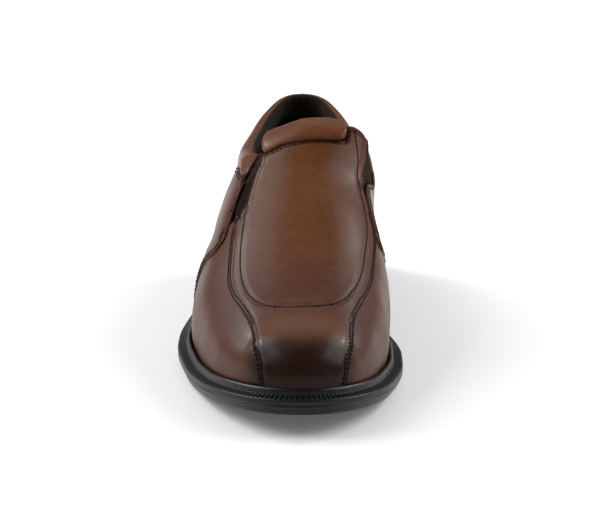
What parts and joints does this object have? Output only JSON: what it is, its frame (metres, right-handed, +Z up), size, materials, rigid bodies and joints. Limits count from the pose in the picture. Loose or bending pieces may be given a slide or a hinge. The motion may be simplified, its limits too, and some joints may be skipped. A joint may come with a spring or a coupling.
{
  "type": "slip-on shoe",
  "caption": "Right slip-on shoe: hollow leather upper with side gores, long centre panel and padded tongue end, on a ribbed welt and a low-heeled rubber sole.",
  "frame": {"origin": "middle of the shoe's footprint box, on the floor that the sole stands on", "axes": "+Z up, +Y towards the heel, -Y towards the toe, +X towards the inner side of the foot"},
  "size_m": [0.1054, 0.302, 0.1083],
  "materials": {
    "leather": "burnished, satin",
    "rubber": "moulded, satin",
    "lining": "matt lining",
    "elastic": "ribbed elastic"
  },
  "bodies": {
    "root": {"outsole": "rubber", "welt": "rubber", "insole": "lining", "upper": "leather", "vamp_panel": "leather", "quarters": "leather", "tongue_pad": "leather", "gore_lateral": "elastic", "gore_medial": "elastic"}
  },
  "joints": []
}
